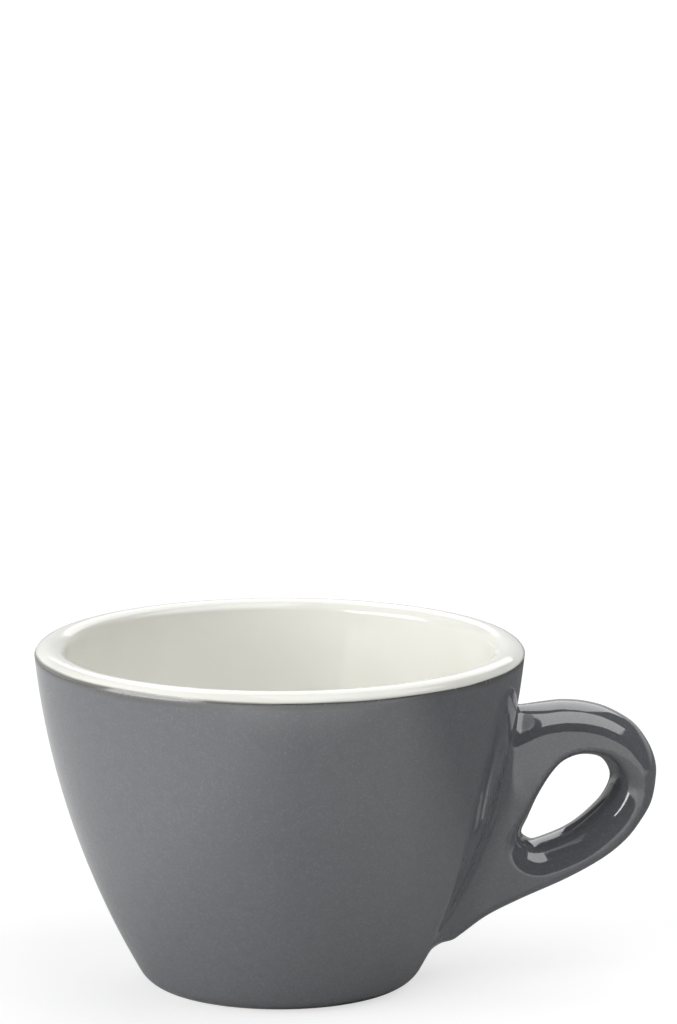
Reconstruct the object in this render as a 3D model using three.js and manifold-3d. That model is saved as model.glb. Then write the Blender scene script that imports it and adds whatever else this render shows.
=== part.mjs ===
// A stoneware cup for a flat white: a turned body, a loop handle luted on with slip, a white glaze
// inside and over the lip, and a grey glaze outside. Millimetres, +Z up.
// The origin lies on the cup's axis, level with its foot, and the handle points along +X.
import * as THREE from "three";
import { mergeVertices } from "three/addons/utils/BufferGeometryUtils.js";
import Module from "manifold-3d";

const wasm = await Module();
wasm.setup();

// Body
const RIM_DIAMETER = 85; // at the widest part of the lip
const HEIGHT = 60;
const BASE_DIAMETER = 46; // where the wall's curve would reach the table
const WALL_BOW = 142; // radius of the wall's curve, seen from the side
const WALL = 5;
const FLOOR = 6.5;
const LIP_RISE = 1.8; // from the lip's widest part up to its crest
const INSIDE_CORNER = 12; // rounding between the inside wall and the floor
const FOOT_CORNER = 5.5; // rounding between the outside wall and the foot
const FOOT_RING_WIDTH = 2.6;
const RECESS_DEPTH = 1.2; // inside the foot ring
const RECESS_SLOPE = 1.4; // how far the ring's inner side leans in over that depth

// Glaze and slip
const GLAZE = 0.35;
const SLIP = 0.5;
const CLEARANCE = 0.12; // between layers that lie on each other
const WHITE_OVERLAP = 1.5; // how far the white glaze reaches down outside the lip
const BARE_FOOT = 0.5; // height of the unglazed clay at the foot

// Handle
const HANDLE_REACH = 28.85; // from the wall's face out to the loop's farthest point
const HANDLE_DROP = 11.9; // from the lip's crest down to the loop's top
const TAIL_RISE = 5.4; // from the table up to the loop's tail
const HANDLE_THICKNESS = 12.4;
const EDGE_FACING_UP = 6.3; // depth of the rounding along the loop's edges where they face up
const EDGE_FACING_DOWN = 2.1; // and where they face down
const EDGE_SHARE = 0.94; // the most of a section's width that its two roundings take
const HANDLE_SEAT = 4.5; // how far the loop's inner leg is drawn on into the wall before it is cut
const ROOT_FILLET = 1.6;

// Stations round the loop, clockwise from its top. Each has a point on the finger hole's edge and one
// on the outside edge, as a share of the reach from the wall's face and of the fall from top to tail.
const seated = -HANDLE_SEAT / HANDLE_REACH;
const STATIONS = [
  { hole: [0.485, 0.211], edge: [0.413, 0] },
  { hole: [0.635, 0.244], edge: [0.763, 0.098] },
  { hole: [0.71, 0.314], edge: [1, 0.322] },
  { hole: [0.7, 0.391], edge: [0.993, 0.496] },
  { hole: [0.628, 0.468], edge: [0.918, 0.602] },
  { hole: [0.499, 0.539], edge: [0.751, 0.694] },
  { hole: [0.36, 0.569], edge: [0.486, 0.789] },
  { hole: [0.287, 0.558], edge: [0.273, 0.89] },
  { hole: [0.271, 0.546], edge: [0.144, 0.975] },
  { hole: [0.26, 0.534], edge: [seated, 1] },
  { hole: [0.26, 0.481], edge: [seated, 0.681] },
  { hole: [0.281, 0.36], edge: [seated, 0.354] },
  { hole: [0.336, 0.26], edge: [seated, 0.119] },
  { hole: [0.367, 0.239], edge: [seated, 0.012] },
  { hole: [0.388, 0.229], edge: [0.052, 0.004] },
  { hole: [0.416, 0.22], edge: [0.187, 0] },
];

// Fineness
const TURN_STEPS = 48; // round the cup
const CORNER_STEPS = 3;
const WALL_STEPS = 5;
const LIP_STEPS = 3; // over each half of the lip
const STATION_STEPS = 3; // between two stations
const EDGE_STEPS = 3; // round each edge of the handle
const FLANK_STEPS = 4; // across the handle's flat flank

// Section of the cup, in radius and height: the wall is a ring between two arcs about one centre,
// and the lip is half an ellipse on top of it.
const lipHeight = HEIGHT - LIP_RISE;
const wallTop = new THREE.Vector2(RIM_DIAMETER / 2, lipHeight);
const wallFoot = new THREE.Vector2(BASE_DIAMETER / 2, 0);
const bowCentre = centreThrough(wallFoot, wallTop, WALL_BOW);
const innerBow = WALL_BOW - WALL;
const lipInside = radiusOnBow(innerBow, lipHeight);
const lipCentre = new THREE.Vector2((RIM_DIAMETER / 2 + lipInside) / 2, lipHeight);
const lipHalfWidth = RIM_DIAMETER / 2 - lipCentre.x;
const footCentre = cornerCentre(WALL_BOW, FOOT_CORNER, 0);
const insideCentre = cornerCentre(innerBow, INSIDE_CORNER, FLOOR);
const glazeLine = HEIGHT - WHITE_OVERLAP;

function centreThrough(low, high, radius) {
  const chord = high.clone().sub(low);
  const toCentre = new THREE.Vector2(-chord.y, chord.x).normalize();
  const reach = Math.sqrt(radius ** 2 - chord.lengthSq() / 4);
  return low.clone().add(high).multiplyScalar(0.5).addScaledVector(toCentre, reach);
}

function radiusOnBow(bow, height) {
  return bowCentre.x + Math.sqrt(bow ** 2 - (height - bowCentre.y) ** 2);
}

// Centre of the rounding that lies inside a bow and on a level line.
function cornerCentre(bow, corner, level) {
  const height = level + corner;
  const radius = Math.sqrt((bow - corner) ** 2 - (height - bowCentre.y) ** 2);
  return new THREE.Vector2(bowCentre.x + radius, height);
}

function arc(centre, radiusX, radiusY, from, to, steps) {
  return Array.from({ length: steps + 1 }, (_, i) => {
    const angle = from + ((to - from) * i) / steps;
    return new THREE.Vector2(
      centre.x + radiusX * Math.cos(angle),
      centre.y + radiusY * Math.sin(angle),
    );
  });
}

// Angle at which a corner's rounding passes into the wall's bow.
function cornerAngle(corner) {
  return Math.atan2(corner.y - bowCentre.y, corner.x - bowCentre.x);
}

// Angle on the foot's rounding at a height above the table.
function footAngle(height) {
  return -Math.acos(Math.sqrt(1 - ((FOOT_CORNER - height) / FOOT_CORNER) ** 2));
}

// Outside of the cup from an angle on the foot's rounding up to a height, set in by a depth.
function outside(depth, fromAngle, toHeight) {
  const turn = cornerAngle(footCentre);
  const onLip = toHeight > lipHeight;
  const rise = Math.min(toHeight, lipHeight) - bowCentre.y;
  const points = [
    ...arc(footCentre, FOOT_CORNER - depth, FOOT_CORNER - depth, fromAngle, turn, CORNER_STEPS),
    ...arc(
      bowCentre,
      WALL_BOW - depth,
      WALL_BOW - depth,
      turn,
      Math.asin(rise / WALL_BOW),
      WALL_STEPS,
    ).slice(1),
  ];
  if (onLip) {
    const lipAngle = Math.asin(Math.min(1, (toHeight - lipHeight) / LIP_RISE));
    points.push(...arc(lipCentre, lipHalfWidth - depth, LIP_RISE - depth, 0, lipAngle, 1).slice(1));
  }
  return points;
}

// Over the lip from an angle on its outer half to its inner edge, set in by a depth.
function lip(depth, from) {
  const width = lipHalfWidth - depth;
  const rise = LIP_RISE - depth;
  return [
    ...arc(lipCentre, width, rise, from, Math.PI / 2, LIP_STEPS),
    ...arc(lipCentre, width, rise, Math.PI / 2, Math.PI, LIP_STEPS).slice(1),
  ];
}

// Inside of the cup from the lip's inner edge down to the axis, set in by a depth.
function inside(depth) {
  const turn = cornerAngle(insideCentre);
  const top = Math.asin((lipHeight - bowCentre.y) / innerBow);
  const corner = INSIDE_CORNER + depth;
  return [
    ...arc(bowCentre, innerBow + depth, innerBow + depth, top, turn, WALL_STEPS).slice(1),
    ...arc(insideCentre, corner, corner, turn, -Math.PI / 2, CORNER_STEPS).slice(1),
    new THREE.Vector2(0, FLOOR - depth),
  ];
}

// A turned solid from a closed section, or from one that starts and ends on the axis. It starts half
// a step round, so that the middle of a facet, and not an edge, meets the handle's middle plane.
function turned(section) {
  const halfStep = Math.PI / TURN_STEPS;
  return new THREE.LatheGeometry(section, TURN_STEPS, halfStep).rotateX(Math.PI / 2);
}

// The cup filled in above its bare foot, with its outside set in by a depth.
function filledCup(depth) {
  const section = outside(depth, bareAngle, HEIGHT);
  const foot = new THREE.Vector2(0, section[0].y);
  const crown = new THREE.Vector2(0, section.at(-1).y);
  return turned([foot, ...section, crown]);
}

// A closed section turns back on its first point.
function ringSection(there, back) {
  return [...there, ...back.reverse(), there[0].clone()];
}

function solidOf(geometry) {
  const bare = geometry.clone();
  bare.deleteAttribute("normal");
  bare.deleteAttribute("uv");
  const merged = mergeVertices(bare);
  return new wasm.Manifold(
    new wasm.Mesh({
      numProp: 3,
      vertProperties: merged.attributes.position.array,
      triVerts: new Uint32Array(merged.index.array),
    }),
  );
}

function geometryOf(solid) {
  const mesh = solid.getMesh();
  const geometry = new THREE.BufferGeometry();
  geometry.setAttribute("position", new THREE.BufferAttribute(mesh.vertProperties, 3));
  geometry.setIndex(new THREE.BufferAttribute(mesh.triVerts, 1));
  geometry.computeVertexNormals();
  return geometry;
}

// Handle: a closed loop of rounded sections, each running from the finger hole to the outside edge.
function stationCurve(side) {
  const loopTop = HEIGHT - HANDLE_DROP;
  const points = STATIONS.map((station) => {
    const [reach, fall] = station[side];
    const height = loopTop - fall * (loopTop - TAIL_RISE);
    return new THREE.Vector3(radiusOnBow(WALL_BOW, height) + reach * HANDLE_REACH, 0, height);
  });
  return new THREE.CatmullRomCurve3(points, true);
}

// Depth of an edge's rounding, from how far it faces up: 1 straight up and -1 straight down.
function edgeRound(facing) {
  return EDGE_FACING_DOWN + ((EDGE_FACING_UP - EDGE_FACING_DOWN) * (1 + facing)) / 2;
}

function quarterRound(depth) {
  const half = HANDLE_THICKNESS / 2;
  return Array.from({ length: EDGE_STEPS + 1 }, (_, i) => {
    const angle = ((Math.PI / 2) * i) / EDGE_STEPS;
    return [depth * (1 - Math.cos(angle)), half * Math.sin(angle)];
  });
}

// Half a section as pairs of depth from the hole's edge and half thickness there.
function flank(width, holeFacing) {
  const holeRound = edgeRound(holeFacing);
  const outerRound = edgeRound(-holeFacing);
  const limit = Math.min(1, (EDGE_SHARE * width) / (holeRound + outerRound));
  const near = quarterRound(limit * holeRound);
  const far = quarterRound(limit * outerRound).map(([depth, thick]) => [width - depth, thick]);
  const flatFrom = limit * holeRound;
  const flatWidth = width - limit * (holeRound + outerRound);
  const flat = Array.from({ length: FLANK_STEPS - 1 }, (_, i) => [
    flatFrom + (flatWidth * (i + 1)) / FLANK_STEPS,
    HANDLE_THICKNESS / 2,
  ]);
  return [...near, ...flat, ...far.reverse()];
}

function loopGeometry() {
  const holeCurve = stationCurve("hole");
  const edgeCurve = stationCurve("edge");
  const rings = STATIONS.length * STATION_STEPS;
  const positions = [];
  for (let i = 0; i < rings; i += 1) {
    const hole = holeCurve.getPoint(i / rings);
    const edge = edgeCurve.getPoint(i / rings);
    const width = hole.distanceTo(edge);
    const across = edge.clone().sub(hole).divideScalar(width);
    const half = flank(width, -across.z);
    const near = half.map(([depth, thick]) => [depth, -thick]);
    const far = half.slice(1, -1).reverse();
    for (const [depth, side] of [...near, ...far]) {
      const point = hole.clone().addScaledVector(across, depth);
      positions.push(point.x, side, point.z);
    }
  }
  const ringSize = positions.length / 3 / rings;
  const index = [];
  for (let i = 0; i < rings; i += 1) {
    const next = ((i + 1) % rings) * ringSize;
    for (let j = 0; j < ringSize; j += 1) {
      const turn = (j + 1) % ringSize;
      const a = i * ringSize + j;
      const b = i * ringSize + turn;
      index.push(a, next + j, next + turn, a, next + turn, b);
    }
  }
  const geometry = new THREE.BufferGeometry();
  geometry.setAttribute("position", new THREE.Float32BufferAttribute(positions, 3));
  geometry.setIndex(index);
  geometry.computeVertexNormals();
  return geometry;
}

// Spreads the loop along the wall where it nears it, so that it grows out of the wall in a fillet.
// The spread is full where the two faces meet squarely, and less where they meet at a flat angle.
function filleted(loop) {
  const position = loop.attributes.position;
  const normal = loop.attributes.normal;
  const point = new THREE.Vector3();
  const face = new THREE.Vector3();
  const wallFace = new THREE.Vector3();
  for (let i = 0; i < position.count; i += 1) {
    point.fromBufferAttribute(position, i);
    face.fromBufferAttribute(normal, i);
    const radius = Math.hypot(point.x, point.y);
    const fromCentre = new THREE.Vector2(radius, point.z).sub(bowCentre);
    const above = fromCentre.length() - WALL_BOW;
    fromCentre.normalize();
    wallFace.set(
      (fromCentre.x * point.x) / radius,
      (fromCentre.x * point.y) / radius,
      fromCentre.y,
    );
    const facing = Math.max(face.dot(wallFace), 0);
    const squareness = Math.sqrt((1 - facing) / (1 + facing));
    const near = Math.max(1 - Math.abs(above) / ROOT_FILLET, 0);
    const flare = ROOT_FILLET * near ** 2;
    face.addScaledVector(wallFace, -face.dot(wallFace)).normalize();
    point.addScaledVector(face, flare * squareness);
    position.setXYZ(i, point.x, point.y, point.z);
  }
  loop.computeVertexNormals();
  return loop;
}

const loop = filleted(loopGeometry());

// The loop as a solid with its surface set in by a depth.
function loopSolid(depth) {
  const geometry = loop.clone();
  const position = geometry.attributes.position;
  const normal = geometry.attributes.normal;
  for (let i = 0; i < position.count; i += 1) {
    position.setXYZ(
      i,
      position.getX(i) - depth * normal.getX(i),
      position.getY(i) - depth * normal.getY(i),
      position.getZ(i) - depth * normal.getZ(i),
    );
  }
  return solidOf(geometry);
}

// Depths below the glazed surface: clay starts under the glaze, and the slip lies on the clay.
const clayDepth = GLAZE + CLEARANCE;
const slipUnder = GLAZE;
const slipOver = slipUnder - SLIP;
const seatDepth = slipOver - CLEARANCE;
const bareAngle = footAngle(BARE_FOOT);
const recessRadius = footCentre.x - FOOT_RING_WIDTH - RECESS_SLOPE;
const recessTop = RECESS_DEPTH + clayDepth;

// Fired clay: the bare foot ring stands on the table and the rest is set in under the glaze.
function bodyGeometry() {
  const bareEdge = footAngle(BARE_FOOT - CLEARANCE);
  const bareFoot = arc(footCentre, FOOT_CORNER, FOOT_CORNER, -Math.PI / 2, bareEdge, 1);
  const ringInside = footCentre.x - FOOT_RING_WIDTH;
  return turned([
    new THREE.Vector2(0, recessTop),
    new THREE.Vector2(recessRadius, recessTop),
    new THREE.Vector2(ringInside, 0),
    ...bareFoot,
    ...outside(clayDepth, bareEdge, lipHeight),
    ...lip(clayDepth, 0).slice(1),
    ...inside(clayDepth),
  ]);
}

function whiteGlazeGeometry() {
  const lineAngle = Math.asin((glazeLine - lipHeight) / LIP_RISE);
  const face = [...lip(0, lineAngle), ...inside(0)];
  const back = [...lip(GLAZE, lineAngle), ...inside(GLAZE)];
  return turned([...back.reverse(), ...face]);
}

function greyGlazeGeometry() {
  const greyTop = glazeLine - CLEARANCE;
  const face = outside(0, bareAngle, greyTop);
  const back = outside(GLAZE, bareAngle, greyTop);
  const wallCoat = solidOf(turned(ringSection(face, back)));
  const loopCoat = loopSolid(0).subtract(solidOf(filledCup(GLAZE)));
  return geometryOf(wallCoat.add(loopCoat).subtract(loopSolid(GLAZE)));
}

function handleGeometry() {
  return geometryOf(loopSolid(clayDepth).subtract(solidOf(filledCup(seatDepth))));
}

function slipGeometry() {
  const layer = solidOf(filledCup(slipOver)).subtract(solidOf(filledCup(slipUnder)));
  return geometryOf(loopSolid(clayDepth).intersect(layer));
}

// Glaze in the shallow recess inside the foot ring.
function footGlazeGeometry() {
  const top = recessTop - CLEARANCE;
  const lean = (RECESS_SLOPE * (recessTop - RECESS_DEPTH)) / recessTop;
  const radius = recessRadius - CLEARANCE;
  return turned([
    new THREE.Vector2(0, top - GLAZE),
    new THREE.Vector2(radius + lean, top - GLAZE),
    new THREE.Vector2(radius, top),
    new THREE.Vector2(0, top),
  ]);
}

const clay = { color: 0xd9d2c3, roughness: 0.85 };
const slipClay = { color: 0xcfc7b6, roughness: 0.9 };
const white = { color: 0xf1efe6, roughness: 0.12 };
const grey = { color: 0x6c6d70, roughness: 0.14 };

const cup = new THREE.Group();
for (const [name, geometry, look] of [
  ["cup_body", bodyGeometry(), clay],
  ["handle", handleGeometry(), clay],
  ["handle_slip", slipGeometry(), slipClay],
  ["white_glaze", whiteGlazeGeometry(), white],
  ["grey_glaze", greyGlazeGeometry(), grey],
  ["foot_glaze", footGlazeGeometry(), grey],
]) {
  const mesh = new THREE.Mesh(geometry, new THREE.MeshStandardMaterial(look));
  mesh.name = name;
  cup.add(mesh);
}

export default cup;
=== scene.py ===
import math

import bpy
import numpy as np
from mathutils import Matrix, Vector


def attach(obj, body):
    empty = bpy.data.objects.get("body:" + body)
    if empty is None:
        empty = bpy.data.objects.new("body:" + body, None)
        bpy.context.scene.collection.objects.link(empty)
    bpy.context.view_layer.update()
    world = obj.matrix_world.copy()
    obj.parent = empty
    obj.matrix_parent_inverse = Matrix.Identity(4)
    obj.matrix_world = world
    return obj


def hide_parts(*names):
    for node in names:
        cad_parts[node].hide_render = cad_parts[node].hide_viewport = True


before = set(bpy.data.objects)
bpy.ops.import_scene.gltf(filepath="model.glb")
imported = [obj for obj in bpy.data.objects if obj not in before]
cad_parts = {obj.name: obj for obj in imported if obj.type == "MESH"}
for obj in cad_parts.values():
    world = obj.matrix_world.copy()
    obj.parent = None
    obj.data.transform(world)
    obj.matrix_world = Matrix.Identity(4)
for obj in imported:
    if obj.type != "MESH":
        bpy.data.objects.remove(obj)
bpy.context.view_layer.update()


# Cup body
# The body is thrown or jiggered stoneware, turned round one axis, and stands on a bare foot ring.
# It is fired buff clay under the glazes, and only the ring shows it.

MM = 0.001
RIM_RADIUS = 42.5 * MM
HEIGHT = 60 * MM
BASE_RADIUS = 23 * MM
WALL_BOW = 142 * MM
WALL = 5 * MM
FLOOR = 6.5 * MM
LIP_RISE = 1.8 * MM
INSIDE_CORNER = 12 * MM
FOOT_CORNER = 5.5 * MM
FOOT_RING_WIDTH = 2.6 * MM
RECESS_DEPTH = 1.2 * MM
RECESS_SLOPE = 1.4 * MM
GLAZE = 0.35 * MM
UNDER_GLAZE = 0.12 * MM
BARE_FOOT = 0.5 * MM
WHITE_OVERLAP = 1.5 * MM
TURN_STEPS = 192
FOOT_STEPS = 4
WALL_STEPS = 24
LIP_STEPS = 16
FLOOR_STEPS = 4

CLAY_COLOUR = (0.62, 0.55, 0.43, 1)
CLAY_SPECK_COLOUR = (0.36, 0.29, 0.2, 1)
CLAY_GRAIN = 900
CLAY_SPECK_FROM = 0.58
CLAY_SPECK_FULL = 0.7
CLAY_ROUGHNESS = 0.8
CLAY_RELIEF = 0.2 * MM
CLAY_RELIEF_STRENGTH = 0.3


class Wire:
    """One output of a node, which takes part in sums like a number."""

    def __init__(self, workings, socket):
        self.workings = workings
        self.socket = socket

    def maths(self, operation, *values):
        inputs = dict(enumerate(values))
        return self.workings.add("ShaderNodeMath", {"operation": operation}, inputs)

    def __add__(self, other):
        return self.maths("ADD", self, other)

    __radd__ = __add__

    def __sub__(self, other):
        return self.maths("SUBTRACT", self, other)

    def __rsub__(self, other):
        return self.maths("SUBTRACT", other, self)

    def __mul__(self, other):
        return self.maths("MULTIPLY", self, other)

    __rmul__ = __mul__


class Workings:
    """A node tree, to which each node is added from its type, settings and inputs."""

    def __init__(self, tree):
        self.tree = tree

    def add(self, kind, settings=None, inputs=None, output=0):
        node = self.tree.nodes.new(kind)
        for name, value in (settings or {}).items():
            setattr(node, name, value)
        for key, value in (inputs or {}).items():
            if isinstance(value, Wire):
                self.tree.links.new(value.socket, node.inputs[key])
            else:
                node.inputs[key].default_value = value
        return Wire(self, node.outputs[output]) if node.outputs else node

    def outputs(self, wire):
        return wire.socket.node.outputs


def finish_named(name):
    material = bpy.data.materials.new(name)
    material.use_nodes = True
    material.node_tree.nodes.clear()
    return material, Workings(material.node_tree)


def on_piece(w):
    return w.add("ShaderNodeTexCoord", None, None, "Object")


def along_axis(w, place, axis):
    return w.add("ShaderNodeSeparateXYZ", None, {0: place}, axis)


def noise(w, place, scale, detail):
    return w.add("ShaderNodeTexNoise", None, {"Vector": place, "Scale": scale, "Detail": detail})


def ramp(w, value, start, end, low=0, high=1):
    return w.add("ShaderNodeMapRange", None, {0: value, 1: start, 2: end, 3: low, 4: high})


def mixed(w, share, first, second):
    return w.add("ShaderNodeMix", {"data_type": "RGBA"}, {0: share, 6: first, 7: second}, 2)


def bumped(w, height, strength, depth):
    return w.add("ShaderNodeBump", None, {"Height": height, "Strength": strength, "Distance": depth})


def surface(w, inputs):
    shader = w.add("ShaderNodeBsdfPrincipled", None, inputs)
    w.add("ShaderNodeOutputMaterial", None, {"Surface": shader})


def shown(name, data):
    thing = bpy.data.objects.new(name, data)
    bpy.context.scene.collection.objects.link(thing)
    return thing


def arc(centre, radius_across, radius_up, start, end, steps):
    angles = np.linspace(start, end, steps + 1)
    across = centre[0] + radius_across * np.cos(angles)
    up = centre[1] + radius_up * np.sin(angles)
    return np.stack([across, up], axis=1)


def wall_centre():
    low = np.array([BASE_RADIUS, 0])
    high = np.array([RIM_RADIUS, HEIGHT - LIP_RISE])
    chord = high - low
    length = np.linalg.norm(chord)
    towards = np.array([-chord[1], chord[0]]) / length
    return (low + high) / 2 + towards * math.sqrt(WALL_BOW**2 - length**2 / 4)


BOW_CENTRE = wall_centre()
INNER_BOW = WALL_BOW - WALL
LIP_HEIGHT = HEIGHT - LIP_RISE


def radius_on_bow(bow, height):
    return BOW_CENTRE[0] + np.sqrt(bow**2 - (height - BOW_CENTRE[1]) ** 2)


def corner_centre(bow, corner, level):
    height = level + corner
    across = math.sqrt((bow - corner) ** 2 - (height - BOW_CENTRE[1]) ** 2)
    return np.array([BOW_CENTRE[0] + across, height])


def corner_turn(corner):
    return math.atan2(corner[1] - BOW_CENTRE[1], corner[0] - BOW_CENTRE[0])


FOOT_CENTRE = corner_centre(WALL_BOW, FOOT_CORNER, 0)
INSIDE_CENTRE = corner_centre(INNER_BOW, INSIDE_CORNER, FLOOR)
LIP_INSIDE = radius_on_bow(INNER_BOW, LIP_HEIGHT)
LIP_CENTRE = np.array([(RIM_RADIUS + LIP_INSIDE) / 2, LIP_HEIGHT])
LIP_HALF = RIM_RADIUS - LIP_CENTRE[0]


def foot_angle(height):
    return -math.acos(math.sqrt(1 - ((FOOT_CORNER - height) / FOOT_CORNER) ** 2))


def outside(depth, from_height, steps):
    turn = corner_turn(FOOT_CENTRE)
    corner = FOOT_CORNER - depth
    bow = WALL_BOW - depth
    top = math.asin((LIP_HEIGHT - BOW_CENTRE[1]) / WALL_BOW)
    low = arc(FOOT_CENTRE, corner, corner, foot_angle(from_height), turn, steps // 4)
    high = arc(BOW_CENTRE, bow, bow, turn, top, steps)
    return np.concatenate([low, high[1:]])


def over_lip(depth, start, end, steps):
    return arc(LIP_CENTRE, LIP_HALF - depth, LIP_RISE - depth, start, end, steps)


def inside(depth, steps):
    turn = corner_turn(INSIDE_CENTRE)
    bow = INNER_BOW + depth
    corner = INSIDE_CORNER + depth
    top = math.asin((LIP_HEIGHT - BOW_CENTRE[1]) / INNER_BOW)
    wall = arc(BOW_CENTRE, bow, bow, top, turn, steps)
    round_corner = arc(INSIDE_CENTRE, corner, corner, turn, -math.pi / 2, steps // 2)
    floor_across = np.linspace(INSIDE_CENTRE[0], 0, FLOOR_STEPS + 1)[1:]
    floor = np.stack([floor_across, np.full(FLOOR_STEPS, FLOOR - depth)], axis=1)
    return np.concatenate([wall, round_corner[1:], floor])


def wheel_tree():
    """Turns a section, drawn in X and Y, round the Z axis, and lets a line outside the lip waver."""
    tree = bpy.data.node_groups.new("turned on the wheel", "GeometryNodeTree")
    face = tree.interface
    face.new_socket("Section", in_out="INPUT", socket_type="NodeSocketGeometry")
    face.new_socket("Steps", in_out="INPUT", socket_type="NodeSocketInt")
    face.new_socket("Path radius", in_out="INPUT", socket_type="NodeSocketFloat")
    face.new_socket("Weld", in_out="INPUT", socket_type="NodeSocketFloat")
    face.new_socket("Finish", in_out="INPUT", socket_type="NodeSocketMaterial")
    face.new_socket("Line height", in_out="INPUT", socket_type="NodeSocketFloat")
    face.new_socket("Line fade", in_out="INPUT", socket_type="NodeSocketFloat")
    face.new_socket("Line radius", in_out="INPUT", socket_type="NodeSocketFloat")
    face.new_socket("Waver", in_out="INPUT", socket_type="NodeSocketFloat")
    face.new_socket("Waves", in_out="INPUT", socket_type="NodeSocketFloat")
    face.new_socket("Turned", in_out="OUTPUT", socket_type="NodeSocketGeometry")
    w = Workings(tree)
    given = w.outputs(w.add("NodeGroupInput"))
    section, steps, path_radius, weld, finish = (Wire(w, given[i]) for i in range(5))
    line, fade, line_radius, waver, waves = (Wire(w, given[i]) for i in range(5, 10))
    profile = w.add("GeometryNodeMeshToCurve", None, {0: section})
    path = w.add(
        "GeometryNodeCurvePrimitiveCircle",
        {"mode": "RADIUS"},
        {"Resolution": steps, "Radius": path_radius},
    )
    upright = w.add("GeometryNodeSetCurveNormal", {"mode": "Z_UP"}, {"Curve": path})
    swept = w.add("GeometryNodeCurveToMesh", None, {"Curve": upright, "Profile Curve": profile})
    closed = w.add("GeometryNodeMergeByDistance", None, {"Geometry": swept, "Distance": weld})
    outward = w.add("GeometryNodeFlipFaces", None, {"Mesh": closed})
    place = w.add("GeometryNodeInputPosition")
    height = along_axis(w, place, "Z")
    level = w.add("ShaderNodeCombineXYZ", None, {2: height})
    from_axis = w.add("ShaderNodeVectorMath", {"operation": "DISTANCE"}, {0: place, 1: level}, "Value")
    outside_lip = from_axis.maths("GREATER_THAN", from_axis, line_radius)
    near_line = ramp(w, height, line + fade, line)
    wave = noise(w, place, waves, 2)
    drop = (0.5 - wave) * 2 * waver * near_line * outside_lip
    shift = w.add("ShaderNodeCombineXYZ", None, {2: drop})
    lined = w.add("GeometryNodeSetPosition", None, {"Geometry": outward, "Offset": shift})
    smooth = w.add("GeometryNodeSetShadeSmooth", None, {"Geometry": lined})
    whole = w.add("GeometryNodeRealizeInstances", None, {"Geometry": smooth})
    dressed = w.add("GeometryNodeSetMaterial", None, {"Geometry": whole, "Material": finish})
    w.add("NodeGroupOutput", None, {0: dressed})
    return tree


WHEEL = wheel_tree()
WHEEL_PATH = 1 * MM
WELD = 0.001 * MM
SHARP_TURN = math.radians(40)


def turned(name, section, finish, line=None):
    """A piece turned from a section of radius and height, closed at its seam and on the axis."""
    points = [(across - WHEEL_PATH, -up, 0) for across, up in section]
    edges = [(i, i + 1) for i in range(len(points) - 1)]
    drawn = bpy.data.meshes.new(name + "_section")
    drawn.from_pydata(points, edges, [])
    blank = shown(name + "_blank", drawn)
    modifier = blank.modifiers.new("wheel", "NODES")
    modifier.node_group = WHEEL
    given = {"Steps": TURN_STEPS, "Path radius": WHEEL_PATH, "Weld": WELD, "Finish": finish}
    given.update(line or {})
    for item in WHEEL.interface.items_tree:
        if item.name in given:
            modifier[item.identifier] = given[item.name]
    view = bpy.context.evaluated_depsgraph_get()
    mesh = bpy.data.meshes.new_from_object(blank.evaluated_get(view))
    bpy.data.objects.remove(blank)
    mesh.name = name
    mesh.set_sharp_from_angle(angle=SHARP_TURN)
    return shown(name, mesh)


def fired_clay(name, colour, speck_colour):
    material, w = finish_named(name)
    speck = noise(w, on_piece(w), CLAY_GRAIN, 3)
    tone = mixed(w, ramp(w, speck, CLAY_SPECK_FROM, CLAY_SPECK_FULL), colour, speck_colour)
    bump = bumped(w, speck, CLAY_RELIEF_STRENGTH, CLAY_RELIEF)
    surface(w, {"Base Color": tone, "Roughness": CLAY_ROUGHNESS, "Normal": bump})
    return material


def body_section():
    depth = GLAZE + UNDER_GLAZE
    recess_top = RECESS_DEPTH + depth
    ring_inside = FOOT_CENTRE[0] - FOOT_RING_WIDTH
    bare_edge = foot_angle(BARE_FOOT - UNDER_GLAZE)
    return np.concatenate(
        [
            [[0, recess_top], [ring_inside - RECESS_SLOPE, recess_top], [ring_inside, 0]],
            arc(FOOT_CENTRE, FOOT_CORNER, FOOT_CORNER, -math.pi / 2, bare_edge, FOOT_STEPS),
            outside(depth, BARE_FOOT - UNDER_GLAZE, WALL_STEPS),
            over_lip(depth, 0, math.pi, LIP_STEPS)[1:],
            inside(depth, WALL_STEPS)[1:],
        ]
    )


CLAY = fired_clay("fired clay", CLAY_COLOUR, CLAY_SPECK_COLOUR)
body = turned("body", body_section(), CLAY)
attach(body, "root")
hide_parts("cup_body")


# Handle
# The handle is a loop of the same clay, cast or pulled apart from the body and luted to its wall.
# It is seated on the slip, and lies wholly under the grey glaze, which rounds off its root.

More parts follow.
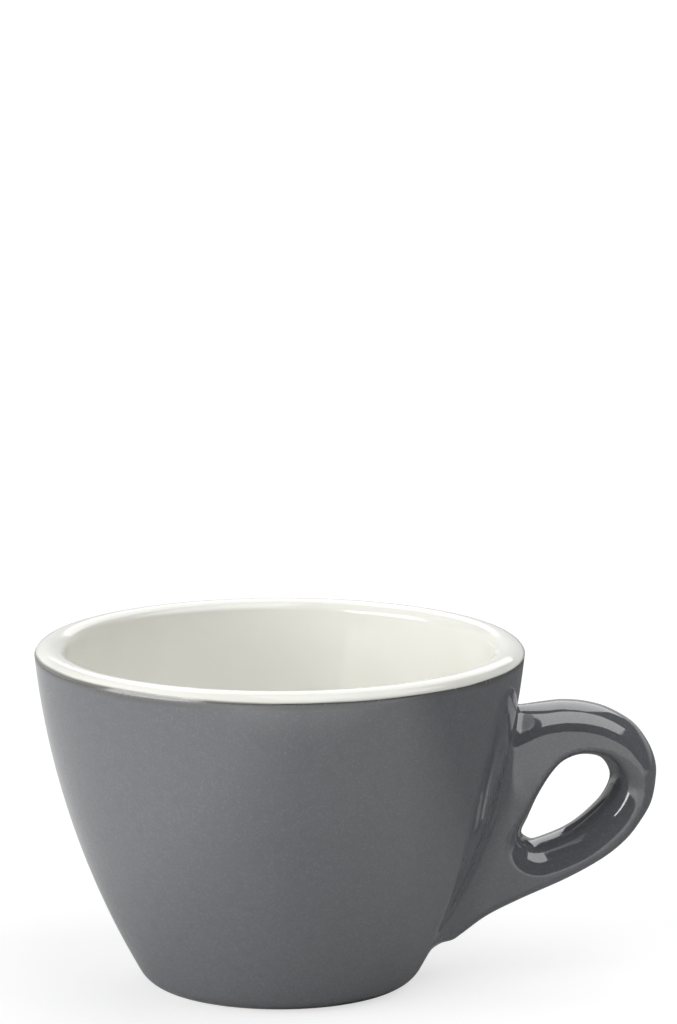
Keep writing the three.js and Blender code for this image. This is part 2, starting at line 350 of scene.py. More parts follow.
HANDLE_HALF = 6.2 * MM
EDGE_ROUND = 3.4 * MM
EDGE_ROUND_SWING = 1.3 * MM
HOLE_ROUND = 3.75 * MM
HOLE_ROUND_SWING = 1.95 * MM
EDGE_TURN_HEIGHT = 34 * MM
EDGE_TURN_REACH = 13 * MM
HOLE_MIDDLE = np.array([50.5, 31.5]) * MM
HOLE_DOWN = np.array([0.5, -0.866])
HOLE_TURN_REACH = 7 * MM
ROOT_SWELL = 5.5 * MM
ROOT_SWELL_REACH = 7 * MM
LOW_FILLET = 7.6 * MM
HIGH_FILLET = 1.9 * MM
FILLET_TURN_HEIGHT = 36 * MM
FILLET_TURN_REACH = 8 * MM
EDGE_FILLET = 2.2 * MM
HANDLE_OUTLINE = [
    (30.0, 48.9), (38.0, 48.2), (41.5, 47.82), (42.9, 47.84), (44.3, 47.95), (45.7, 48.08), (47.1, 48.21),
    (48.6, 48.35), (50.4, 48.4), (53.9, 48.05), (58.0, 46.85), (62.4, 44.2), (65.05, 40.8), (66.4, 37.4),
    (66.5, 34.4), (65.7, 30.35), (63.8, 27.0), (61.0, 23.55), (56.75, 20.25), (50.3, 16.85), (42.2, 13.5),
    (36.25, 10.7), (31.8, 7.6), (30.3, 6.6), (28.4, 6.15), (24.0, 5.9), (20.0, 10.0), (22.0, 25.0),
]
FINGER_HOLE = [
    (53.0, 39.1), (56.7, 38.1), (58.6, 34.8), (57.35, 31.3), (54.2, 28.05), (50.8, 25.7), (46.5, 24.0),
    (44.45, 23.7), (42.6, 25.3), (43.7, 28.2), (45.4, 32.2), (47.55, 35.85), (49.8, 38.15),
]
SLIP = 0.5 * MM
CLAY_DEPTH = GLAZE + UNDER_GLAZE
HANDLE_SEAT = 0.27 * MM
FAR_OUT = 5 * MM
OUTLINE_STEPS = 10
LEAST_LEVEL = 1e-6
LEAST_STEEPNESS = 0.5 / HANDLE_HALF


def smooth_loop(points):
    """A closed curve through the points, with a number of steps from each point to the next."""
    p = np.array(points) * MM
    before = np.roll(p, 1, axis=0)
    after = np.roll(p, -1, axis=0)
    beyond = np.roll(p, -2, axis=0)
    t = np.arange(OUTLINE_STEPS)[:, None, None] / OUTLINE_STEPS
    curve = 0.5 * (
        2 * p
        + (after - before) * t
        + (2 * before - 5 * p + 4 * after - beyond) * t**2
        + (3 * p - before - 3 * after + beyond) * t**3
    )
    return curve.transpose(1, 0, 2).reshape(-1, 2)


def distance_inside(loop, points):
    """Distance of each point from a closed loop, positive inside it."""
    run = np.roll(loop, -1, axis=0) - loop
    nearest = np.full(len(points), np.inf)
    crossings = np.zeros(len(points), int)
    for (start_x, start_z), (run_x, run_z) in zip(loop, run):
        dx = points[:, 0] - start_x
        dz = points[:, 1] - start_z
        along = np.clip((dx * run_x + dz * run_z) / (run_x**2 + run_z**2), 0, 1)
        nearest = np.minimum(nearest, (dx - along * run_x) ** 2 + (dz - along * run_z) ** 2)
        if run_z != 0:
            spans = (dz >= min(0, run_z)) & (dz < max(0, run_z))
            crossings += spans & (dx < dz / run_z * run_x)
    return np.where(crossings % 2 == 1, 1, -1) * np.sqrt(nearest)


EDGE_LOOP = smooth_loop(HANDLE_OUTLINE)
HOLE_LOOP = smooth_loop(FINGER_HOLE)


def swing(value):
    """Runs smoothly from -1 to 1 while the value does."""
    return np.sin(np.clip(value, -1, 1) * math.pi / 2)


def above_wall(points):
    """Height of each point over the wall's bow, or over the foot's rounding below it."""
    across = np.hypot(points[:, 0], points[:, 1])
    up = points[:, 2]
    bow = np.hypot(across - BOW_CENTRE[0], up - BOW_CENTRE[1]) - WALL_BOW
    corner = np.hypot(across - FOOT_CENTRE[0], up - FOOT_CENTRE[1]) - FOOT_CORNER
    in_corner = up - FOOT_CENTRE[1] < (across - FOOT_CENTRE[0]) * math.tan(corner_turn(FOOT_CENTRE))
    return np.where(in_corner, corner, bow)


def above_handle(points, wall):
    """Height of each point over the handle, and how far it is round the handle's edges."""
    plane = points[:, [0, 2]]
    upward = swing((points[:, 2] - EDGE_TURN_HEIGHT) / EDGE_TURN_REACH)
    below_hole = swing((plane - HOLE_MIDDLE) @ HOLE_DOWN / HOLE_TURN_REACH)
    at_root = np.clip(1 - wall / ROOT_SWELL_REACH, 0, 1) ** 2 * np.maximum(upward, 0) ** 2
    edge_round = EDGE_ROUND + EDGE_ROUND_SWING * upward + ROOT_SWELL * at_root
    hole_round = HOLE_ROUND + HOLE_ROUND_SWING * below_hole
    past_edge = 1 - distance_inside(EDGE_LOOP, plane) / edge_round
    past_hole = 1 + distance_inside(HOLE_LOOP, plane) / hole_round
    past = np.maximum(np.maximum(past_edge, past_hole), 0)
    rounding = np.where(past_edge > past_hole, edge_round, hole_round)
    side = points[:, 1] / HANDLE_HALF
    level = np.hypot(past, side)
    steepness = np.hypot(past / rounding, side / HANDLE_HALF) / np.maximum(level, LEAST_LEVEL)
    height = (level - 1) / np.maximum(steepness, LEAST_STEEPNESS)
    return np.maximum(height, -HANDLE_HALF), past


def joined(points, wall):
    """Height of each point over the handle, and over the coat that joins handle and wall in a fillet.

    The fillet is made with cubes, so that its bend starts from nothing and mirrors smoothly.
    """
    handle, past = above_handle(points, wall)
    high = (1 + swing((points[:, 2] - FILLET_TURN_HEIGHT) / FILLET_TURN_REACH)) / 2
    flank_fillet = LOW_FILLET + (HIGH_FILLET - LOW_FILLET) * high
    fillet = EDGE_FILLET + (flank_fillet - EDGE_FILLET) * np.clip(1 - past, 0, 1) ** 2
    corner = np.cbrt(np.maximum(fillet - wall, 0) ** 3 + np.maximum(fillet - handle, 0) ** 3)
    return handle, np.maximum(fillet, np.minimum(wall, handle)) - corner


GRID = 0.5 * MM
ZONE_HALF = 19.8 * MM
ZONE_REACH = 33 * MM
HANDLE_ZONE = 16 * MM
ZONE_LOW = 0.8 * MM
ZONE_HIGH = 56 * MM
COAT_TUCK = 0.7 * MM
FINE_WALL_STEPS = 400
FINE_LIP_STEPS = 12


def skin_rows():
    """Points up the outside from the bare foot to just under the white glaze, with their normals."""
    tuck_top = HEIGHT - WHITE_OVERLAP + COAT_TUCK
    top = math.asin((tuck_top - LIP_HEIGHT) / LIP_RISE)
    lip = over_lip(0, 0, top, FINE_LIP_STEPS)
    section = np.concatenate([outside(0, BARE_FOOT, FINE_WALL_STEPS), lip[1:]])
    step = np.linalg.norm(np.diff(section, axis=0), axis=1)
    along = np.concatenate([[0], np.cumsum(step)])
    count = round(along[-1] / GRID)
    rows = np.linspace(0, along[-1], 2 * count + 1)
    place = np.stack([np.interp(rows, along, section[:, i]) for i in range(2)], axis=1)
    run = np.gradient(place, axis=0)
    run /= np.linalg.norm(run, axis=1)[:, None]
    normal = np.stack([run[:, 1], -run[:, 0]], axis=1)
    return place, normal


def placed(place, normal, side, height):
    """A point over the wall in the plane beside the handle's middle plane."""
    across = np.sqrt(np.maximum(place[..., 0] ** 2 - side**2, 0))
    x = across + height * normal[..., 0]
    z = place[..., 1] + height * normal[..., 1]
    return np.stack(np.broadcast_arrays(x, side, z), axis=-1)


def between(axis, first, second):
    """Slices of the lower and upper ends of a grid's edges along one axis."""
    low = [slice(first, second)] * 3
    high = [slice(first, second)] * 3
    low[axis] = slice(None, -1)
    high[axis] = slice(1, None)
    return tuple(low), tuple(high)


def net_points(nodes, level):
    """One point in each cell that the skin passes through, at the middle of its crossings."""
    full = level < 0
    cells = tuple(n - 1 for n in level.shape)
    total = np.zeros(cells + (3,))
    count = np.zeros(cells)
    for axis in range(3):
        low, high = between(axis, None, None)
        crossed = full[low] != full[high]
        share = level[low] / np.where(crossed, level[low] - level[high], 1)
        point = nodes[low] + share[..., None] * (nodes[high] - nodes[low])
        first, second = (a for a in range(3) if a != axis)
        for i in (0, 1):
            for j in (0, 1):
                pick = [slice(None)] * 3
                pick[first] = slice(i, i + cells[first])
                pick[second] = slice(j, j + cells[second])
                pick = tuple(pick)
                total += np.where(crossed[pick][..., None], point[pick], 0)
                count += crossed[pick]
    used = count > 0
    number = np.full(cells, -1)
    number[used] = np.arange(used.sum())
    return total[used] / count[used][:, None], number


def net_quads(level, number):
    """A face across each edge of the grid that the skin cuts, pointing out of the cup."""
    full = level < 0
    quads = []
    for axis in range(3):
        low, high = between(axis, 1, -1)
        crossed = full[low] != full[high]
        leaving = full[low][crossed]
        where = np.argwhere(crossed)
        first, second = (a for a in range(3) if a != axis)
        corners = []
        for i, j in ((0, 0), (1, 0), (1, 1), (0, 1)):
            cell = where.copy()
            cell[:, first] += i
            cell[:, second] += j
            corners.append(number[tuple(cell.T)])
        quad = np.stack(corners, axis=1)
        back = leaving if axis == 1 else ~leaving
        quad[back] = quad[back][:, ::-1]
        quads.append(quad)
    return np.concatenate(quads)


def zone_nodes(heights):
    """A grid over the wall about the handle, which follows the wall's section."""
    at_nodes = slice(0, None, 2)
    sides = np.linspace(-ZONE_HALF, ZONE_HALF, round(2 * ZONE_HALF / GRID) + 1)
    return placed(
        ROW_PLACE[at_nodes][None, :, None, :],
        ROW_NORMAL[at_nodes][None, :, None, :],
        sides[:, None, None],
        heights[None, None, :],
    )


def zone_levels(nodes, heights):
    """Heights of the grid's nodes over the wall, the handle and the coat."""
    flat = nodes.reshape(-1, 3)
    wall = above_wall(flat)
    handle = np.full(len(flat), FAR_OUT)
    skin = np.broadcast_to(heights, nodes.shape[:3]).flatten()
    near = (np.abs(flat[:, 1]) < HANDLE_ZONE) & (flat[:, 2] > ZONE_LOW) & (flat[:, 2] < ZONE_HIGH)
    handle[near], skin[near] = joined(flat[near], wall[near])
    return [level.reshape(nodes.shape[:3]) for level in (wall, handle, skin)]


def mesh_of(name, points, quads):
    mesh = bpy.data.meshes.new(name)
    mesh.from_pydata(points.tolist(), [], quads.tolist())
    mesh.shade_smooth()
    return mesh


def netted(name, nodes, level, finish):
    """A closed piece from the grid's nodes, solid where the level is negative."""
    points, number = net_points(nodes, level)
    mesh = mesh_of(name, points, net_quads(level, number))
    mesh.set_sharp_from_angle(angle=SHARP_TURN)
    mesh.materials.append(finish)
    return shown(name, mesh)


ROW_PLACE, ROW_NORMAL = skin_rows()
ZONE_HEIGHTS = (np.arange(round(ZONE_REACH / GRID) + 1) - 0.5) * GRID
ZONE_NODES = zone_nodes(ZONE_HEIGHTS)
zone_wall, zone_handle, COAT_LEVEL = zone_levels(ZONE_NODES, ZONE_HEIGHTS)
clay_level = np.maximum(zone_handle + CLAY_DEPTH, HANDLE_SEAT - zone_wall)
clay_handle = netted("clay_handle", ZONE_NODES, clay_level, CLAY)
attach(clay_handle, "root")
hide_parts("handle")


# Slip
# The slip is the same clay stirred with water, brushed on as the glue between handle and wall.
# It is fired to a thin layer in the joint, a little darker than the clay, and is covered by the glaze.

SLIP_COLOUR = (0.55, 0.48, 0.37, 1)
SLIP_SPECK_COLOUR = (0.32, 0.26, 0.18, 1)
SLIP_MIDDLE = -0.1 * MM

slip_heights = SLIP_MIDDLE + SLIP * np.arange(-1, 2)
slip_nodes = zone_nodes(slip_heights)
slip_wall, slip_handle, _ = zone_levels(slip_nodes, slip_heights)
slip_level = np.maximum(slip_handle + CLAY_DEPTH, np.abs(slip_wall - SLIP_MIDDLE) - SLIP / 2)
luting = netted("luting", slip_nodes, slip_level, fired_clay("slip", SLIP_COLOUR, SLIP_SPECK_COLOUR))
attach(luting, "root")
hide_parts("handle_slip")


# White glaze
# A warm white glaze lines the inside and runs over the lip to a slightly uneven line outside it.
# It is poured in before firing and lies on the clay as a thin glassy coat with a few pinholes.

WHITE_COLOUR = (0.88, 0.88, 0.83, 1)
WHITE_SHADE_COLOUR = (0.86, 0.855, 0.795, 1)
PINHOLE_COLOUR = (0.5, 0.47, 0.4, 1)
WHITE_IOR = 1.6
THIN_COLOUR = (0.2, 0.197, 0.185, 1)
THIN_LINE = 58.4 * MM
THIN_TILT = 0.013
THIN_FADE = 0.35 * MM
THIN_WAVER = 0.4 * MM
WHITE_PROUD = 0.1 * MM
LINE_FADE = 1.2 * MM
LINE_WAVER = 0.3 * MM
LINE_WAVES = 85
WHITE_CLOUDS = 70
WHITE_RIPPLES = 420
WHITE_SHADE_FROM = 0.4
WHITE_SHADE_FULL = 0.65
PINHOLES = 110
PINHOLE_SIZE = 0.02
PINHOLE_SHARE = 0.5
WHITE_ROUGHNESS = 0.07
RIPPLE_ROUGHNESS = 0.08
RIPPLE_RELIEF = 0.3
WHITE_RELIEF = 0.05 * MM
GLAZE_RELIEF_STRENGTH = 0.5
WHITE_LIP_STEPS = 32
WHITE_WALL_STEPS = 40


def spots(w, place, density, size):
    """One inside small scattered spots and nought between them."""
    cells = w.add("ShaderNodeTexVoronoi", None, {"Vector": place, "Scale": density}, "Distance")
    return ramp(w, cells, size, size / 2)


def thin_edge(w, place, cloud):
    """One where the white runs out thin on the lip's outside, higher up on the side away from the handle."""
    across = along_axis(w, place, "X")
    height = along_axis(w, place, "Z")
    flat = w.add("ShaderNodeVectorMath", {"operation": "MULTIPLY"}, {0: place, 1: (1, 1, 0)})
    from_axis = w.add("ShaderNodeVectorMath", {"operation": "LENGTH"}, {0: flat}, "Value")
    outside_lip = from_axis.maths("GREATER_THAN", from_axis, float(LIP_CENTRE[0]))
    line = THIN_LINE - across.maths("MINIMUM", across, 0) * THIN_TILT
    over = height - line + (cloud - 0.5) * THIN_WAVER
    return outside_lip * ramp(w, over, THIN_FADE, 0)


def white_glaze():
    material, w = finish_named("white glaze")
    place = on_piece(w)
    cloud = noise(w, place, WHITE_CLOUDS, 3)
    ripple = noise(w, place, WHITE_RIPPLES, 2)
    pinhole = spots(w, place, PINHOLES, PINHOLE_SIZE)
    shade = ramp(w, cloud, WHITE_SHADE_FROM, WHITE_SHADE_FULL)
    colour = mixed(w, shade, WHITE_COLOUR, WHITE_SHADE_COLOUR)
    colour = mixed(w, pinhole * PINHOLE_SHARE, colour, PINHOLE_COLOUR)
    colour = mixed(w, thin_edge(w, place, cloud), colour, THIN_COLOUR)
    roughness = WHITE_ROUGHNESS + ripple * RIPPLE_ROUGHNESS
    height = ripple * RIPPLE_RELIEF + cloud - pinhole
    bump = bumped(w, height, GLAZE_RELIEF_STRENGTH, WHITE_RELIEF)
    surface(w, {"Base Color": colour, "Roughness": roughness, "IOR": WHITE_IOR, "Normal": bump})
    return material


def white_section():
    edge = math.asin((HEIGHT - WHITE_OVERLAP - LIP_HEIGHT) / LIP_RISE)
    lip_face = over_lip(-WHITE_PROUD, edge, math.pi, WHITE_LIP_STEPS)
    lip_back = over_lip(GLAZE, edge, math.pi, WHITE_LIP_STEPS)
    face = np.concatenate([lip_face, inside(0, WHITE_WALL_STEPS)[1:]])
    back = np.concatenate([lip_back, inside(GLAZE, WHITE_WALL_STEPS)[1:]])
    return np.concatenate([back[::-1], face])


WHITE_LINE = {
    "Line height": HEIGHT - WHITE_OVERLAP,
    "Line fade": LINE_FADE,
    "Line radius": float(LIP_CENTRE[0]),
    "Waver": LINE_WAVER,
    "Waves": LINE_WAVES,
}
lining = turned("lining", white_section(), white_glaze(), WHITE_LINE)
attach(lining, "root")
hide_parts("white_glaze")


# Grey glaze
# A glossy grey glaze coats the outside and the handle in one unbroken skin, down to the bare foot.
# It runs through the handle's root in a fillet, is faintly mottled, and pools dark under the white line.

GREY_COLOUR = (0.13, 0.134, 0.146, 1)
GREY_LIGHT_COLOUR = (0.166, 0.171, 0.186, 1)
GREY_DARK_COLOUR = (0.102, 0.104, 0.111, 1)
POOL_COLOUR = (0.1, 0.1, 0.098, 1)
REST_COLUMNS = 130


def rest_of_wall(points, number, rows):
    """Columns of points round the rest of the wall, and the faces that join them to the zone."""
    left = number[0, :, 0]
    right = number[-1, :, 0]
    from_angle = np.arcsin(points[right][:, 1] / rows[:, 0])
    to_angle = np.arcsin(points[left][:, 1] / rows[:, 0]) + 2 * math.pi
    share = np.arange(1, REST_COLUMNS + 1) / (REST_COLUMNS + 1)
    angle = from_angle[:, None] + (to_angle - from_angle)[:, None] * share
    radius = rows[:, 0, None]
    up = np.broadcast_to(rows[:, 1, None], angle.shape)
    rest = np.stack([radius * np.cos(angle), radius * np.sin(angle), up], axis=-1)
    columns = len(points) + np.arange(angle.size).reshape(angle.shape)
    ring = np.concatenate([right[:, None], columns, left[:, None]], axis=1)
    strips = np.stack([ring[:-1, :-1], ring[:-1, 1:], ring[1:, 1:], ring[1:, :-1]], axis=-1)
    return rest.reshape(-1, 3), strips.reshape(-1, 4), columns


def edge_band(points, loop, radius, height, first, upper):
    """A ring of points along the coat's edge and the faces that join it to the row beside it."""
    turn = np.arctan2(points[loop][:, 1], points[loop][:, 0])
    edge = np.stack([radius * np.cos(turn), radius * np.sin(turn), np.full(len(loop), height)], axis=1)
    here = first + np.arange(len(loop))
    band = [here, np.roll(here, -1), np.roll(loop, -1), loop]
    if upper:
        band.reverse()
    return edge, np.stack(band, axis=1)


def coat_sheet():
    """The whole face of the coat, and which of its points lie about the handle."""
    rows = ROW_PLACE[1::2]
    points, number = net_points(ZONE_NODES, COAT_LEVEL)
    quads = net_quads(COAT_LEVEL, number)
    about_handle = len(points)
    rest, strips, columns = rest_of_wall(points, number, rows)
    points = np.concatenate([points, rest])
    quads = np.concatenate([quads, strips])
    for row, end in ((0, 0), (len(rows) - 1, -1)):
        loop = np.concatenate([number[:, row, 0], columns[row]])
        edge, band = edge_band(points, loop, *ROW_PLACE[end], len(points), end == -1)
        points = np.concatenate([points, edge])
        quads = np.concatenate([quads, band])
    return points, quads, about_handle


SETTLE_ROUNDS = 6
SETTLE_SHARE = 0.5
SLOPE_STEP = 0.02 * MM
SETTLE_LOW = 2.5 * MM
SETTLE_HIGH = 54 * MM


def skin_slope(points):
    """Height of points over the skin and the slope of that height."""
    moved = [points + step for step in np.eye(3) * SLOPE_STEP]
    places = np.concatenate([points, *moved])
    levels = joined(places, above_wall(places))[1].reshape(4, -1)
    return levels[0], (levels[1:] - levels[0]).T / SLOPE_STEP


def set_on_skin(points):
    """Moves points along the skin's slope until they lie on it."""
    height, slope = skin_slope(points)
    return points - (height / (slope**2).sum(axis=1))[:, None] * slope


def near_handle(points, about_handle):
    near = np.arange(len(points)) < about_handle
    near &= np.abs(points[:, 1]) < HANDLE_ZONE
    return near & (points[:, 2] > SETTLE_LOW) & (points[:, 2] < SETTLE_HIGH)


def settled(points, quads, near):
    """Slides the points about the handle evenly over the skin and sets them on it again."""
    ends = np.concatenate([quads[:, [i, (i + 1) % 4]] for i in range(4)])
    count = np.bincount(ends.ravel(), minlength=len(points))
    for _ in range(SETTLE_ROUNDS):
        total = np.zeros_like(points)
        for axis in range(3):
            for here, there in ((0, 1), (1, 0)):
                pull = points[ends[:, there], axis]
                total[:, axis] += np.bincount(ends[:, here], pull, len(points))
        drawn = points + SETTLE_SHARE * (total / count[:, None] - points)
        points[near] = set_on_skin(drawn[near])
    return points


def coat_mesh():
    """The coat's face with its back and edges, so that it is a closed layer of glaze."""
    points, quads, about_handle = coat_sheet()
    near = near_handle(points, about_handle)
    points = settled(points, quads, near)
    sheet = mesh_of("coat_sheet", points, quads)
    normals = np.empty(len(points) * 3)
    sheet.vertex_normals.foreach_get("vector", normals)
    bpy.data.meshes.remove(sheet)
    normals = normals.reshape(-1, 3)
    slope = skin_slope(points[near])[1]
    normals[near] = slope / np.linalg.norm(slope, axis=1)[:, None]
    back = points - GLAZE * normals
    count = len(points)
    ends = np.concatenate([quads[:, [i, (i + 1) % 4]] for i in range(4)])
    open_edge = ~np.isin(ends[:, 0] * count + ends[:, 1], ends[:, 1] * count + ends[:, 0])
    a, b = ends[open_edge].T
    rim = np.stack([b, a, a + count, b + count], axis=1)
    faces = np.concatenate([quads, quads[:, ::-1] + count, rim])
    mesh = mesh_of("coat", np.concatenate([points, back]), faces)
    mesh.normals_split_custom_set_from_vertices(np.concatenate([normals, -normals]).tolist())
    return mesh


GREY_IOR = 2
GREY_CLOUDS = 60
GREY_MOTTLE = 600
GREY_SPECKLE = 2600
LIGHT_FROM = 0.5
LIGHT_FULL = 0.75
LIGHT_SHARE = 0.8
DARK_FROM = 0.5
DARK_FULL = 0.7
DARK_SHARE = 0.25
POOL_LOW = 57.3 * MM
POOL_HIGH = 58.1 * MM
POOL_WAVER = 2 * MM
GREY_ROUGHNESS = 0.04
MOTTLE_ROUGHNESS = 0.06
POOL_ROUGHNESS = 0.2
MOTTLE_RELIEF = 0.02
SPECKLE_RELIEF = 0.01
GREY_RELIEF = 0.015 * MM


def grey_glaze():
    material, w = finish_named("grey glaze")
    place = on_piece(w)
    cloud = noise(w, place, GREY_CLOUDS, 1)
    mottle = noise(w, place, GREY_MOTTLE, 3)
    speckle = noise(w, place, GREY_SPECKLE, 1)
    light = ramp(w, speckle, LIGHT_FROM, LIGHT_FULL)
    dark = ramp(w, mottle, DARK_FROM, DARK_FULL)
    colour = mixed(w, light * LIGHT_SHARE, GREY_COLOUR, GREY_LIGHT_COLOUR)
    colour = mixed(w, dark * DARK_SHARE, colour, GREY_DARK_COLOUR)
    ragged = along_axis(w, place, "Z") + (cloud - 0.5) * POOL_WAVER
    pool = ramp(w, ragged, POOL_LOW, POOL_HIGH)
    colour = mixed(w, pool, colour, POOL_COLOUR)
    roughness = GREY_ROUGHNESS + mottle * MOTTLE_ROUGHNESS + pool * POOL_ROUGHNESS
    height = cloud + mottle * MOTTLE_RELIEF + speckle * SPECKLE_RELIEF
    bump = bumped(w, height, GLAZE_RELIEF_STRENGTH, GREY_RELIEF)
    surface(w, {"Base Color": colour, "Roughness": roughness, "IOR": GREY_IOR, "Normal": bump})
    return material


GREY = grey_glaze()
coat_data = coat_mesh()
coat_data.materials.append(GREY)
coat = shown("coat", coat_data)
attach(coat, "root")
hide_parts("grey_glaze")


# Glaze under the foot
# The shallow recess inside the foot ring is wiped with the same grey glaze before firing.
# It stops short of the ring, so that the cup doesn't stick to the kiln shelf.

FOOT_RIM_STEPS = 6


def foot_section():
    top = RECESS_DEPTH + GLAZE
    lean = RECESS_SLOPE * GLAZE / (RECESS_DEPTH + GLAZE + UNDER_GLAZE)
    radius = FOOT_CENTRE[0] - FOOT_RING_WIDTH - RECESS_SLOPE - UNDER_GLAZE
    rim = arc((radius - GLAZE + lean, top), GLAZE, GLAZE, -math.pi / 2, 0, FOOT_RIM_STEPS)
    return np.concatenate([[[0, RECESS_DEPTH]], rim, [[0, top]]])


foot = turned("foot_coat", foot_section(), GREY)
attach(foot, "root")
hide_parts("foot_glaze")


# Studio
# A pale floor, soft boxes overhead, behind and on the left, and a camera at the photograph's angle.
# Floor and backdrop look white to the camera. In what the glaze mirrors, the backdrop is pale behind, and
# the floor has painted light to the left of the cup, a painted shadow to its right and behind, and a painted
# glow farther in front.

HANDLE_TURN = math.radians(8)
EYE_DISTANCE = 1.1
EYE_ELEVATION = math.radians(13.18)
EYE_AIM_HEIGHT = 30 * MM
LOOK_YAW = math.radians(0.546)
LOOK_PITCH = math.radians(10.453)
FOCAL_PIXELS = 6301.8
PICTURE_HEIGHT = 1024
SENSOR = 36

camera_data = bpy.data.cameras.new("camera")
camera_data.sensor_width = SENSOR
camera_data.lens = FOCAL_PIXELS * SENSOR / PICTURE_HEIGHT
camera = shown("camera", camera_data)
level = EYE_DISTANCE * math.cos(EYE_ELEVATION)
camera.location = (
    -level * math.sin(HANDLE_TURN),
    -level * math.cos(HANDLE_TURN),
    EYE_AIM_HEIGHT + EYE_DISTANCE * math.sin(EYE_ELEVATION),
)
heading = LOOK_YAW + HANDLE_TURN
look = Vector(
    (
        math.sin(heading) * math.cos(LOOK_PITCH),
        math.cos(heading) * math.cos(LOOK_PITCH),
        -math.sin(LOOK_PITCH),
    )
)
camera.rotation_mode = "QUATERNION"
camera.rotation_quaternion = look.to_track_quat("-Z", "Y")
bpy.context.scene.camera = camera

FLOOR_HALF = 4
FLOOR_COLOUR = (0.4, 0.4, 0.4, 1)
BOUNCE_COLOUR = (0.75, 0.75, 0.75, 1)
MIRRORED_COLOUR = (0.5, 0.5, 0.5, 1)
LIT_COLOUR = (0.8, 0.8, 0.8, 1)
LIT_FAR = -0.06
SHADED_COLOUR = (0.17, 0.17, 0.17, 1)
SHADE_SLANT = 0.8
SHADE_NEAR = 0.02
SHADE_FAR = 0.1
FLOOR_GLOW = 0.68
FLOOR_MIRRORED = 0.36
MIRRORED_NEAR = -0.13
MIRRORED_FAR = -0.17
GLOW_NEAR = 0.3
GLOW_FAR = 1.2
GLOW_RISE = 0.4
PLAIN_WHITE = (1, 1, 1, 1)

floor_data = bpy.data.meshes.new("floor")
floor_data.from_pydata(
    [(x * FLOOR_HALF, y * FLOOR_HALF, 0) for x, y in ((-1, -1), (1, -1), (1, 1), (-1, 1))],
    [],
    [(0, 1, 2, 3)],
)
floor = shown("floor", floor_data)


def pale_floor():
    """A pale floor that looks white to the camera and keeps the cup's shadow, with painted light, shade and
    glow in what the glaze mirrors, and painted extra light in what it bounces.
    """
    material, w = finish_named("pale floor")
    path = w.outputs(w.add("ShaderNodeLightPath"))
    seen = Wire(w, path["Is Camera Ray"]) + Wire(w, path["Is Transmission Ray"])
    glossy = Wire(w, path["Is Glossy Ray"])
    place = on_piece(w)
    across = along_axis(w, place, "X")
    along = along_axis(w, place, "Y")
    # Painted light and shade in what the glaze mirrors: lighter to the left of the cup, a painted shadow of
    # the cup to its right and behind.
    right = ramp(w, across, 0, SHADE_NEAR)
    behind = ramp(w, across + along * SHADE_SLANT, SHADE_NEAR, SHADE_FAR)
    left = ramp(w, across, 0, LIT_FAR)
    mirrored = mixed(w, left, MIRRORED_COLOUR, LIT_COLOUR)
    mirrored = mixed(w, right * behind, mirrored, SHADED_COLOUR)
    # Diffuse bounces see the floor lighter than the camera does: painted extra bounce light.
    tone = mixed(w, glossy, BOUNCE_COLOUR, mirrored)
    tone = mixed(w, seen, tone, FLOOR_COLOUR)
    away = w.add("ShaderNodeVectorMath", {"operation": "LENGTH"}, {0: place}, "Value")
    far = ramp(w, away, GLOW_NEAR, GLOW_FAR, 0, GLOW_RISE)
    # Painted glow in what the glaze mirrors, from nothing near the cup to its full strength farther in
    # front.
    lit = ramp(w, along, MIRRORED_NEAR, MIRRORED_FAR, 0, FLOOR_MIRRORED)
    strength = seen * (far + FLOOR_GLOW) + glossy * lit
    paint = w.add("ShaderNodeBsdfDiffuse", None, {"Color": tone})
    glow = w.add("ShaderNodeEmission", None, {"Color": PLAIN_WHITE, "Strength": strength})
    both = w.add("ShaderNodeAddShader", None, {0: paint, 1: glow})
    w.add("ShaderNodeOutputMaterial", None, {"Surface": both})
    return material


floor_data.materials.append(pale_floor())


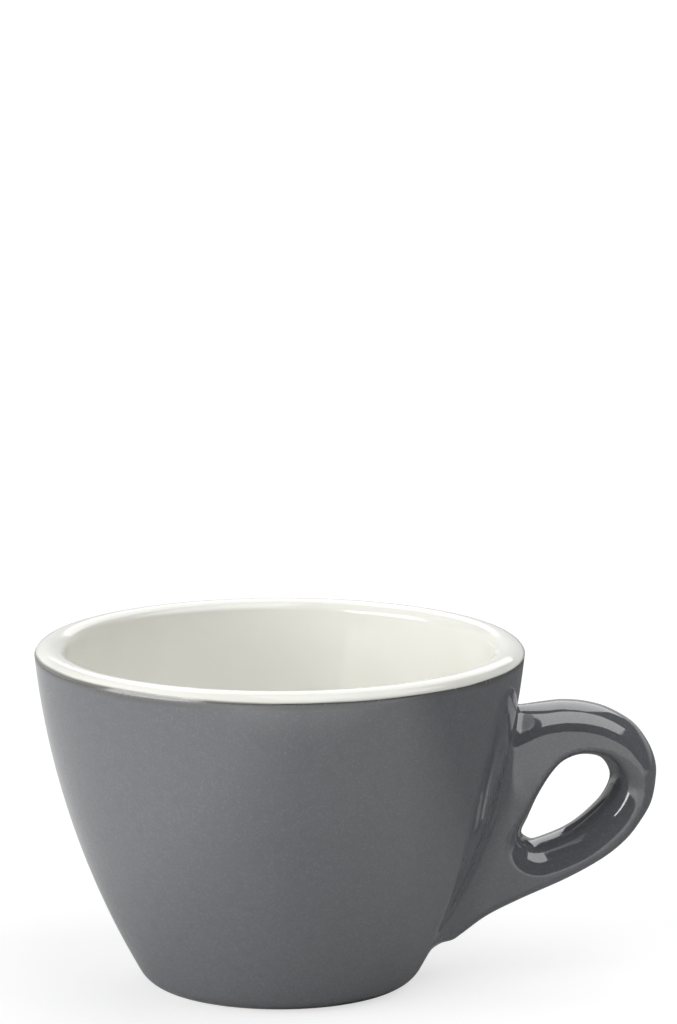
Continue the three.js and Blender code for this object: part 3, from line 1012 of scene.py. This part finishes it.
def softbox(name, place, aim, width, height, brightness):
    data = bpy.data.lights.new(name, "AREA")
    data.shape = "RECTANGLE"
    data.size = width
    data.size_y = height
    data.energy = brightness * math.pi * width * height
    lamp = shown(name, data)
    lamp.location = place
    lamp.rotation_mode = "QUATERNION"
    lamp.rotation_quaternion = (Vector(aim) - Vector(place)).to_track_quat("-Z", "Y")


softbox(
    "main softbox",
    place=(0.565, -0.42, 1.1),
    aim=(0.565, -0.42, 0),
    width=1.37,
    height=1.2,
    brightness=2.0,
)
softbox(
    "back softbox",
    place=(0.25, 0.92, 0.95),
    aim=(0, 0, 0.04),
    width=1.0,
    height=1.2,
    brightness=1.9,
)
softbox(
    "left softbox",
    place=(-1.37, -0.5, 0.44),
    aim=(0, 0, 0.03),
    width=1.35,
    height=1.0,
    brightness=5.1,
)

HORIZON = math.sin(math.radians(-1))
HAZE_TOP = math.sin(math.radians(6))
BACKDROP = 0.7
BACKDROP_RISE = 0.35
ROOM = 0.02
ROOM_LIGHT = 0.13


def studio_world():
    """White to the camera, a dim room to the light, and a pale backdrop behind in what is mirrored."""
    world = bpy.data.worlds.new("studio")
    world.use_nodes = True
    world.node_tree.nodes.clear()
    w = Workings(world.node_tree)
    way = w.add("ShaderNodeTexCoord", None, None, "Generated")
    behind = along_axis(w, way, "Y")
    behind = behind.maths("MAXIMUM", behind, 0)
    height = along_axis(w, way, "Z") - behind * BACKDROP_RISE
    backdrop = ramp(w, height, HORIZON, HAZE_TOP, BACKDROP, 0) * behind + ROOM
    path = w.outputs(w.add("ShaderNodeLightPath"))
    seen = Wire(w, path["Is Camera Ray"]) + Wire(w, path["Is Transmission Ray"])
    glossy = Wire(w, path["Is Glossy Ray"])
    strength = seen + glossy * backdrop
    dim = w.add("ShaderNodeBackground", None, {"Color": PLAIN_WHITE, "Strength": ROOM_LIGHT})
    white = w.add("ShaderNodeBackground", None, {"Color": PLAIN_WHITE, "Strength": strength})
    mix = w.add("ShaderNodeMixShader", None, {0: seen + glossy, 1: dim, 2: white})
    w.add("ShaderNodeOutputWorld", None, {"Surface": mix})
    return world


bpy.context.scene.world = studio_world()
bpy.context.scene.view_settings.view_transform = "Standard"
